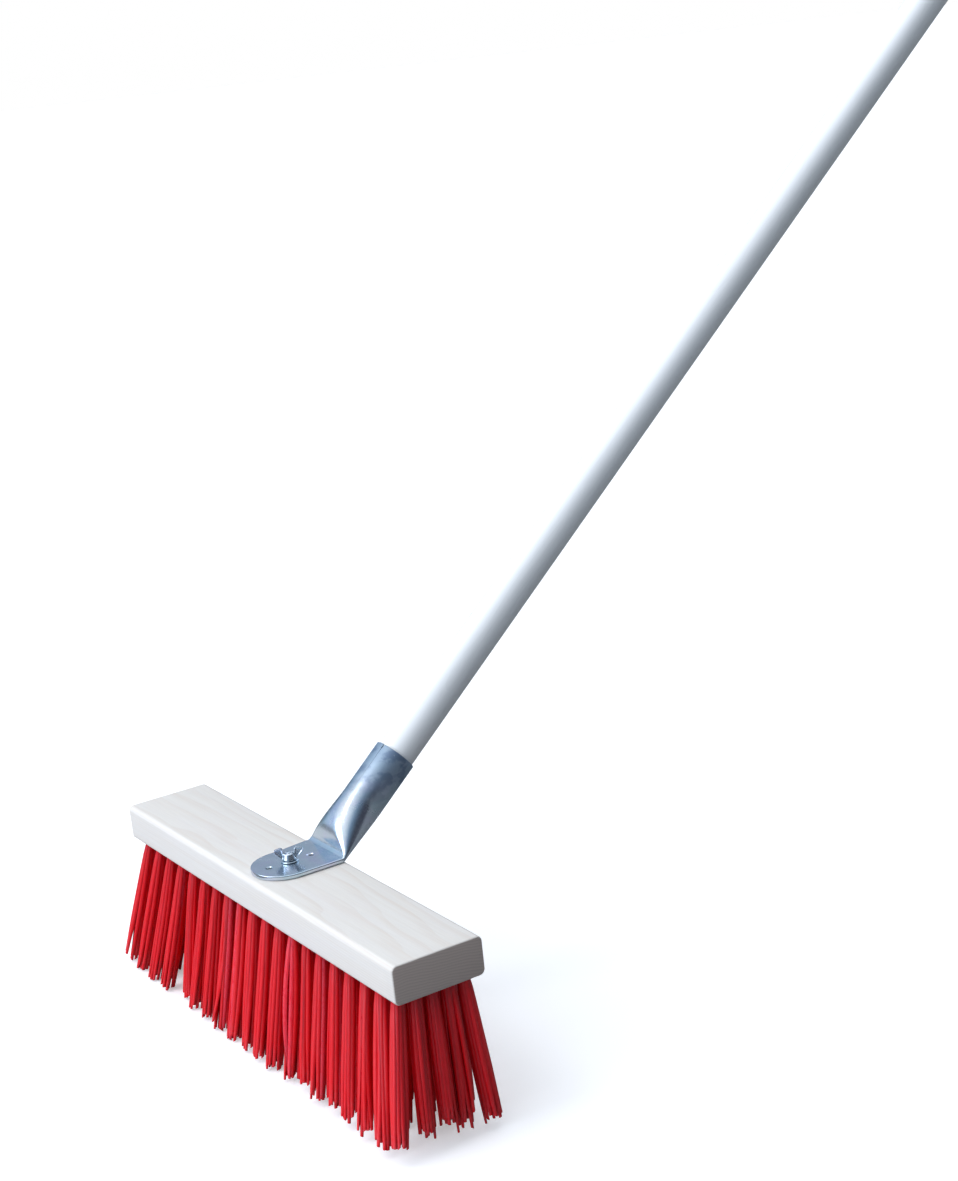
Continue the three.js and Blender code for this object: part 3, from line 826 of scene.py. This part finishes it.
def handle_holder():
    stations = holder_stations()
    rings = [holder_ring(at, TUBE_RADIUS, 0, FLAT_THICKNESS / 2) for at in stations[:-1]]
    rim_steps = 3
    for k in range(rim_steps + 1):
        turn = QUARTER_TURN * k / rim_steps
        s = TUBE_LENGTH - RIM_ROUND * (1 - math.sin(turn))
        radius = TUBE_RADIUS - RIM_ROUND * (1 - math.cos(turn))
        rings.append(holder_ring(tube_station(s), radius, 0, FLAT_THICKNESS / 2))
    holder = mesh_object("handle_holder_zinc", *loft(rings))
    cut(holder, [
        hollow_cutter(stations),
        hole_cutter(0, BOLT_HOLE_RADIUS),
        hole_cutter(-SPARE_HOLE_Y, SPARE_HOLE_RADIUS),
        hole_cutter(SPARE_HOLE_Y, SPARE_HOLE_RADIUS),
        seam_cutter(),
    ])
    shade(holder, 32)
    return holder


# ------------------------------------------------------------------ fastening

BOLT_SIDES = 40
SHANK_TAPER = 0.9 * MM  # the length of the bevel at its top
SHANK_TAPER_DEPTH = 0.7 * MM
THREAD_RUN_IN = 1.5 * MM
STEPS_A_THREAD = 8


def bolt_head(top):
    """The bolt's domed head, as the start of the bolt's mesh."""
    radius = (bolt_high.x - bolt_low.x) / 2
    dome_steps = 8
    profile = [(0.05 * MM, bolt_low.z)]
    for k in range(1, dome_steps + 1):
        turn = QUARTER_TURN * k / dome_steps
        drop = (BOLT_HEAD_HEIGHT - BOLT_HEAD_RIM) * math.cos(turn)
        profile.append((radius * math.sin(turn), top - BOLT_HEAD_RIM - drop))
    profile += [(radius, top - 0.2 * MM), (radius - 0.2 * MM, top), (2 * MM, top)]
    return mesh_object("carriage_bolt_zinc", *lathe(profile, BOLT_SIDES, (HOLDER_X, 0)))


def bolt_shank():
    """The shank, with a thread that runs in above the neck and a bevelled top."""
    length = bolt_high.z - head_low.z
    count = round(length / (THREAD_PITCH / STEPS_A_THREAD))
    rings = []
    for r in range(count + 1):
        z = head_low.z + length * r / count
        taper = min(1.0, max(0.0, (bolt_high.z - z) / SHANK_TAPER))
        started = min(1.0, max(0.0, (z - head_low.z - THREAD_START) / THREAD_RUN_IN))
        ring = []
        for i in range(BOLT_SIDES):
            a = FULL_TURN * i / BOLT_SIDES
            phase = (z / THREAD_PITCH - i / BOLT_SIDES) % 1.0
            tooth = 1 - abs(2 * phase - 1)
            groove = THREAD_DEPTH * started * (1 - min(1.0, tooth * 1.25))
            radius = BOLT_RADIUS - groove - SHANK_TAPER_DEPTH * (1 - taper)
            ring.append(Vector((HOLDER_X + radius * math.cos(a), radius * math.sin(a), z)))
        rings.append(ring)
    return mesh_object("shank", *loft(rings))


def carriage_bolt():
    head_top = head_low.z - BOLT_HEAD_GAP
    neck_top = head_low.z + BOLT_NECK_HEIGHT
    chamfer = 0.6 * MM
    neck = square_rod("neck", [
        (BOLT_NECK_HALF, head_top - 0.5 * MM), (BOLT_NECK_HALF, neck_top - chamfer),
        (BOLT_NECK_HALF - chamfer, neck_top)])
    bolt = bolt_head(head_top)
    cut(bolt, [neck, bolt_shank()], "UNION")
    shade(bolt, 40)
    return bolt


def washer():
    inner, outer = BOLT_HOLE_RADIUS, (washer_high.x - washer_low.x) / 2
    low, high = washer_low.z, washer_high.z
    edge = 0.25 * MM
    sides = 64
    profile = [(inner, low + edge), (inner + edge, low), (outer - edge, low), (outer, low + edge),
               (outer, high - edge), (outer - edge, high), (inner + edge, high), (inner, high - edge)]
    rings = [circle(radius, z, sides, (HOLDER_X, 0)) for radius, z in profile]
    points, faces = loft(rings, closed=False)
    last = (len(rings) - 1) * sides
    for i in range(sides):
        j = (i + 1) % sides
        faces.append((last + i, last + j, j, i))
    return mesh_object("washer_zinc", points, faces, 30)


NUT_HUB_BASE = 4.9 * MM
NUT_HUB_TOP = 3.9 * MM
NUT_HUB_HEIGHT = 4.8 * MM
NUT_BORE = 2.9 * MM
WING_REACH = 10.4 * MM
WING_THICKNESS = 2.3 * MM
WING_CORNER = 1.9 * MM
WING_RIM = 1.0 * MM
WING_DISH = 0.55 * MM
NUT_TURN = math.radians(62)


def wing_outline(inset):
    """The ear's outline as (distance from the hub's middle, height), drawn in by inset."""
    height = nut_high.z - nut_low.z
    outer = Vector((WING_REACH - WING_CORNER, height - 0.8 * MM - WING_CORNER))
    inner = Vector((WING_REACH - 4.6 * MM, height - 0.1 * MM - WING_CORNER))
    radius = WING_CORNER - inset
    hub_top = NUT_HUB_HEIGHT - 0.2 * MM - inset
    outline = [(2.6 * MM + inset, 0.6 * MM + inset), (4.4 * MM + inset, 0.3 * MM + inset)]
    steps = 8
    for centre, start, end in ((outer, -35, 80), (inner, 80, 160)):
        for k in range(steps + 1):
            a = math.radians(start + (end - start) * k / steps)
            outline.append((centre.x + radius * math.cos(a), centre.y + radius * math.sin(a)))
    return outline + [(3.4 * MM + inset, hub_top), (2.6 * MM + inset, hub_top)]


def wing_plate(side, inset, near, far):
    """A plate with the ear's outline, from near to far across its thickness."""
    outline = wing_outline(inset)
    rings = [[Vector((side * x, side * t, nut_low.z + z)) for x, z in outline] for t in (near, far)]
    return mesh_object("wing", *loft(rings))


def nut_wing(side):
    """One ear of the nut: a plate that rises outwards from the hub, dished inside its rim."""
    half = WING_THICKNESS / 2
    web = half - WING_DISH
    wing = wing_plate(side, 0, -half, half)
    cut(wing, [wing_plate(side, WING_RIM, web, half + CUT_MARGIN),
               wing_plate(side, WING_RIM, -half - CUT_MARGIN, -web)])
    return wing


def wing_nut():
    """The nut: hub and ears joined, softened as a forging is, and then bored."""
    base = nut_low.z
    top = base + NUT_HUB_HEIGHT
    nut = mesh_object("wing_nut_zinc", *lathe([
        (NUT_HUB_BASE - 0.4 * MM, base), (NUT_HUB_BASE, base + 0.4 * MM),
        (NUT_HUB_TOP, top - 0.5 * MM), (NUT_HUB_TOP - 0.5 * MM, top)], 48))
    cut(nut, [nut_wing(1), nut_wing(-1)], "UNION")
    remesh = nut.modifiers.new("forge", "REMESH")
    remesh.mode = "VOXEL"
    remesh.voxel_size = 0.24 * MM
    smooth = nut.modifiers.new("soften", "SMOOTH")
    smooth.iterations = 5
    smooth.factor = 0.6
    apply_modifiers(nut)
    cut(nut, [mesh_object("bore", *lathe([
        (NUT_BORE + 0.5 * MM + CUT_MARGIN, base - CUT_MARGIN), (NUT_BORE, base + 0.5 * MM),
        (NUT_BORE, top - 0.4 * MM), (NUT_BORE + 0.4 * MM + CUT_MARGIN, top + CUT_MARGIN)], 40))])
    nut.data.transform(Matrix.Translation((HOLDER_X, 0, 0)) @ Matrix.Rotation(NUT_TURN, 4, "Z"))
    shade(nut, 40)
    return nut


# ------------------------------------------------------------------ handle

def handle():
    sides, stations, dome_steps = 96, 60, 10
    low = TUBE_LENGTH - HANDLE_INSERTION
    high = low + HANDLE_LENGTH
    straight = HANDLE_LENGTH - HANDLE_CHAMFER - HANDLE_DOME
    profile = [(HANDLE_RADIUS - HANDLE_CHAMFER, low),
               (HANDLE_RADIUS - 0.3 * MM, low + HANDLE_CHAMFER * 0.8)]
    profile += [(HANDLE_RADIUS, low + HANDLE_CHAMFER + straight * k / stations) for k in range(stations)]
    for k in range(dome_steps):
        turn = QUARTER_TURN * k / dome_steps
        s = high - HANDLE_DOME + HANDLE_DOME * math.sin(turn)
        profile.append((HANDLE_RADIUS * math.cos(turn), s))
    profile.append((0.4 * MM, high))
    angles = [FULL_TURN * i / sides for i in range(sides)]
    rings = [[to_tube(radius * math.cos(a), radius * math.sin(a), s) for a in angles]
             for radius, s in profile]
    return mesh_object("handle_lacquered", *loft(rings), 40)


# ------------------------------------------------------------------ assembly

wood = wood_material()
bristle = bristle_material()
zinc = zinc_material("zinc_plate", 0.0)
nut_zinc = zinc_material("nut_zinc_plate", 0.1)
lacquer = lacquer_material()

finish_piece(head_block(), "head", wood, "head_block")
for column in range(TUFT_COLUMNS):
    tuft_column(column, bristle)
finish_piece(carriage_bolt(), "head", nut_zinc, "carriage_bolt")
finish_piece(handle_holder(), "holder", zinc, "handle_holder")
finish_piece(washer(), "washer", nut_zinc, "washer")
finish_piece(wing_nut(), "nut", nut_zinc, "wing_nut")
finish_piece(handle(), "handle", lacquer, "handle")

# ------------------------------------------------------------------ studio

CAMERA_AT = (1.2567, -0.5877, 0.6845)
CAMERA_HEADING = math.radians(148.51)  # of the line of sight, from +X
CAMERA_TILT = math.radians(-14.967)
CAMERA_ROLL = math.radians(-5.976)
CAMERA_LENS = 64.02
CAMERA_SHIFT_X = -0.0018
FLOOR_HALF = 40
FLOOR_Z = -0.3 * MM
BANK = (-0.12, -0.48, 0.87)
LOBES = (  # (direction, cosine where the light begins, cosine where it is full, colour)
    ((-0.35, -0.92, 0.2), 0.40, 0.95, rgb(0.9, 1.03, 1.2)),
    (BANK, 0.0, 0.85, rgb(0.36, 0.55, 0.76)),
    (BANK, 0.55, 1.03, rgb(1.1, 1.13, 1.17)),
)


def camera():
    data = bpy.data.cameras.new("camera")
    data.sensor_width = 36
    data.lens = CAMERA_LENS
    data.shift_x = CAMERA_SHIFT_X
    data.clip_start = 0.05
    data.clip_end = 200
    obj = bpy.data.objects.new("camera", data)
    bpy.context.scene.collection.objects.link(obj)
    look = Vector((math.cos(CAMERA_HEADING) * math.cos(CAMERA_TILT),
                   math.sin(CAMERA_HEADING) * math.cos(CAMERA_TILT), math.sin(CAMERA_TILT)))
    level_right = look.cross(Vector((0, 0, 1))).normalized()
    level_up = level_right.cross(look)
    right = level_right * math.cos(CAMERA_ROLL) + level_up * math.sin(CAMERA_ROLL)
    up = level_up * math.cos(CAMERA_ROLL) - level_right * math.sin(CAMERA_ROLL)
    turn = Matrix((right, up, -look)).transposed()
    obj.matrix_world = Matrix.Translation(CAMERA_AT) @ turn.to_4x4()
    bpy.context.scene.camera = obj


def sun_light(name, towards, strength, width, colour, mirrored=True):
    """A sun in the direction towards, width degrees across, which metal mirrors or not."""
    data = bpy.data.lights.new(name, "SUN")
    data.energy = strength
    data.angle = math.radians(width)
    data.color = colour
    obj = bpy.data.objects.new(name, data)
    bpy.context.scene.collection.objects.link(obj)
    obj.rotation_euler = Vector(towards).to_track_quat("Z", "Y").to_euler()
    obj.visible_glossy = mirrored


def floor():
    """A white floor. Its glow on the object is that of a greyer one, which keeps the object's
    shaded sides dark."""
    n = Surface("pale_floor")
    n.set("Base Color", n.mix(n.noise((3, 3, 3)), rgb(0.78, 0.78, 0.78), rgb(0.80, 0.80, 0.80)))
    n.set("Roughness", 0.9)
    n.set("Specular IOR Level", 0.0)
    n.set("Emission Color", rgb(1, 1, 1))
    n.set("Emission Strength", 0.36)
    dim = n.add("ShaderNodeBsdfDiffuse")
    n.feed(dim.inputs["Color"], rgb(0.22, 0.222, 0.22))
    n.camera_sees(n.shader.outputs[0], dim.outputs[0], "Material Output")
    corners = [(-FLOOR_HALF, -FLOOR_HALF), (FLOOR_HALF, -FLOOR_HALF), (FLOOR_HALF, FLOOR_HALF),
               (-FLOOR_HALF, FLOOR_HALF)]
    obj = mesh_object("floor", [(x, y, FLOOR_Z) for x, y in corners], [(0, 1, 2, 3)])
    obj.data.materials.append(n.material)


def surroundings():
    """A soft studio: a broad bright bank in front on the left, and dim sides for the metal to
    mirror. The camera itself sees white."""
    world = bpy.data.worlds.new("studio")
    bpy.context.scene.world = world
    world.use_nodes = True
    n = Nodes(world.node_tree)
    towards = n.add("ShaderNodeTexCoord").outputs["Generated"]
    x, _, z = n.split(towards)
    below, above, right_side = rgb(0.07, 0.15, 0.23), rgb(0.46, 0.49, 0.57), rgb(0.13, 0.14, 0.18)
    light = n.mix(n.ramp(z, 0.05, 0.4), below, above)
    light = n.mix(n.ramp(x, -0.3, 0.7), light, right_side)
    for direction, edge, full, colour in LOBES:
        facing = n.dot(towards, Vector(direction).normalized())
        light = n.mix(n.ramp(facing, edge, full), light, colour)
    light = n.mix(n.ramp(x, 0.3, 1.0, 0.0, 0.55), light, rgb(0, 0, 0))
    glow = n.tree.nodes["Background"]
    n.feed(glow.inputs["Color"], light)
    seen = n.add("ShaderNodeBackground")
    n.feed(seen.inputs["Color"], rgb(1, 1, 1))
    n.camera_sees(seen.outputs[0], glow.outputs[0], "World Output")


camera()
surroundings()
floor()
sun_light("streak", BANK, 0.25, 16, (1.0, 1.0, 1.0))
sun_light("overhead", (-0.1, 0.35, 0.93), 0.5, 60, (1.0, 0.92, 0.82))
sun_light("front", (-0.2, -0.93, 0.28), 1.72, 45, (0.91, 0.985, 1.14))
sun_light("wrap", (-0.35, -0.9, 0.28), 1.35, 120, (0.91, 0.985, 1.12), mirrored=False)
bpy.context.scene.view_settings.view_transform = "Standard"
